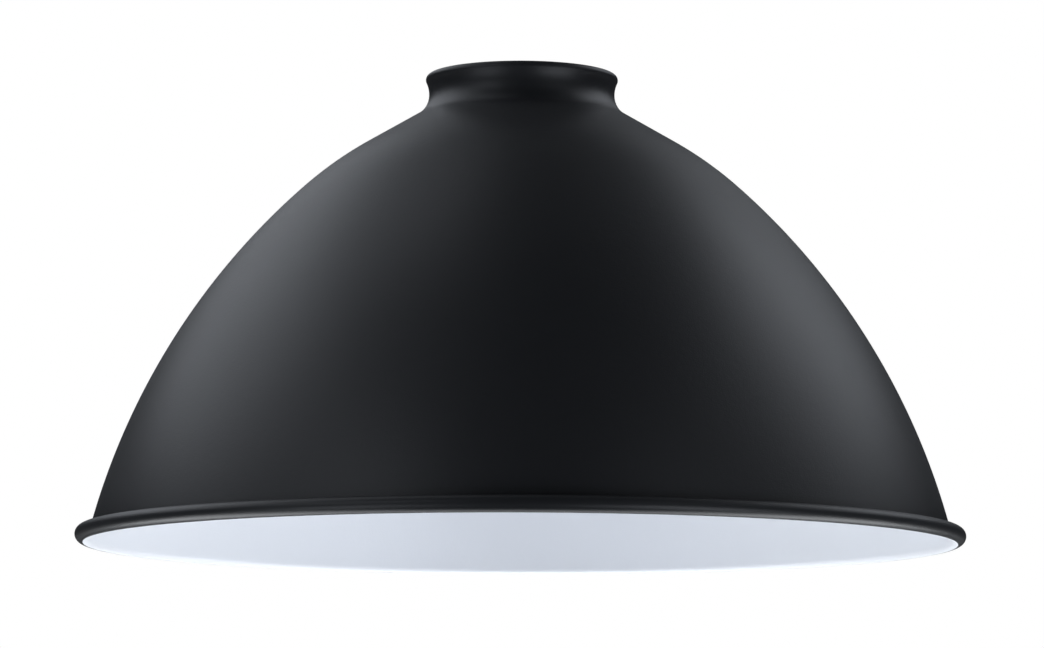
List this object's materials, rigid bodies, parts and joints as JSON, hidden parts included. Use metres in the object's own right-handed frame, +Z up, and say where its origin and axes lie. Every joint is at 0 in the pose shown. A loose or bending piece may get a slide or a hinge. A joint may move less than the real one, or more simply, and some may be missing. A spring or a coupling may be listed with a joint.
{
  "type": "pendant ceiling light",
  "caption": "Dome pendant light: spun metal shade with curled rim and lipped neck, hung on a dished carrier over a screw lampholder with a globe bulb.",
  "frame": {"origin": "centre of the cord gland's mouth, the point that the light hangs from", "axes": "+Z up along the common axis of shade, lampholder and bulb; +X towards the earth screw"},
  "size_m": [0.26, 0.26, 0.1413],
  "materials": {
    "black_powder_coat": "satin black powder coat outside, satin white inside",
    "grey_silicone": "matt moulded silicone",
    "zinc_steel": "zinc plated pressing",
    "black_nylon": "fine matt moulding",
    "black_rubber": "matt",
    "bright_steel": "bright plated",
    "nickel_brass": "nickel plated",
    "green_steel": "green passivated",
    "black_phenolic": "semi-gloss compression moulding",
    "porcelain": "glazed white",
    "shell_brass": "rolled brass",
    "bronze": "phosphor bronze strip",
    "solder": "dull tinned",
    "black_glass": "glossy black fused glass",
    "rolled_aluminium": "rolled",
    "clear_glass": "clear",
    "phosphor": "yellow phosphor in silicone",
    "nickel_wire": "drawn nickel wire"
  },
  "bodies": {
    "lampholder": {"gland_nut": "black_nylon", "gland_seal": "black_rubber", "gland_body": "black_nylon", "threaded_nipple": "bright_steel", "shade_carrier": "zinc_steel", "lock_washer": "bright_steel", "lock_nut": "nickel_brass", "earth_screw": "green_steel", "earth_washer": "bright_steel", "earth_nut": "bright_steel", "holder_cap": "black_phenolic", "cap_lock_screw": "bright_steel", "contact_block": "porcelain", "screw_shell": "shell_brass", "shell_strap": "shell_brass", "live_terminal": "shell_brass", "neutral_terminal": "shell_brass", "live_terminal_screw": "bright_steel", "neutral_terminal_screw": "bright_steel", "holder_skirt": "black_phenolic"},
    "seat": {"seating_ring": "grey_silicone"},
    "shade": {"shade_shell": "black_powder_coat"},
    "bulb_foot": {"bulb_insulator": "black_glass", "bulb_contact": "solder"},
    "bulb": {"bulb_cap": "rolled_aluminium", "bulb_glass": "clear_glass", "bulb_stem": "clear_glass", "filament_1": "phosphor", "filament_2": "phosphor", "filament_3": "phosphor", "filament_4": "phosphor", "lead_wire_1": "nickel_wire", "lead_wire_2": "nickel_wire", "filament_spider": "nickel_wire"},
    "tongue": {"centre_contact": "bronze"}
  },
  "joints": [
    {"name": "shade_lift", "type": "slide", "parent": "lampholder", "child": "seat", "axis": [0, 0, 1], "range_m": [0, 0.1]},
    {"name": "shade_turn", "type": "hinge", "parent": "seat", "child": "shade", "pos_m": [0, 0, -0.02], "axis": [0, 0, 1], "continuous": true},
    {"name": "bulb_travel", "type": "slide", "parent": "lampholder", "child": "bulb_foot", "axis": [0, 0, 1], "range_m": [-0.01814, 0]},
    {"name": "bulb_turn", "type": "hinge", "parent": "bulb_foot", "child": "bulb", "pos_m": [0, 0, -0.06], "axis": [0, 0, 1], "range_deg": [-1800, 0]},
    {"name": "contact_flex", "type": "hinge", "parent": "lampholder", "child": "tongue", "pos_m": [-0.0078, 0, -0.0498], "axis": [0, -1, 0], "range_deg": [0, 5], "stiffness_Nm_per_rad": 0.2}
  ],
  "couplings": [
    {"joint": "bulb_turn", "follows": "bulb_travel", "rad_per_m": 1731.6}
  ]
}
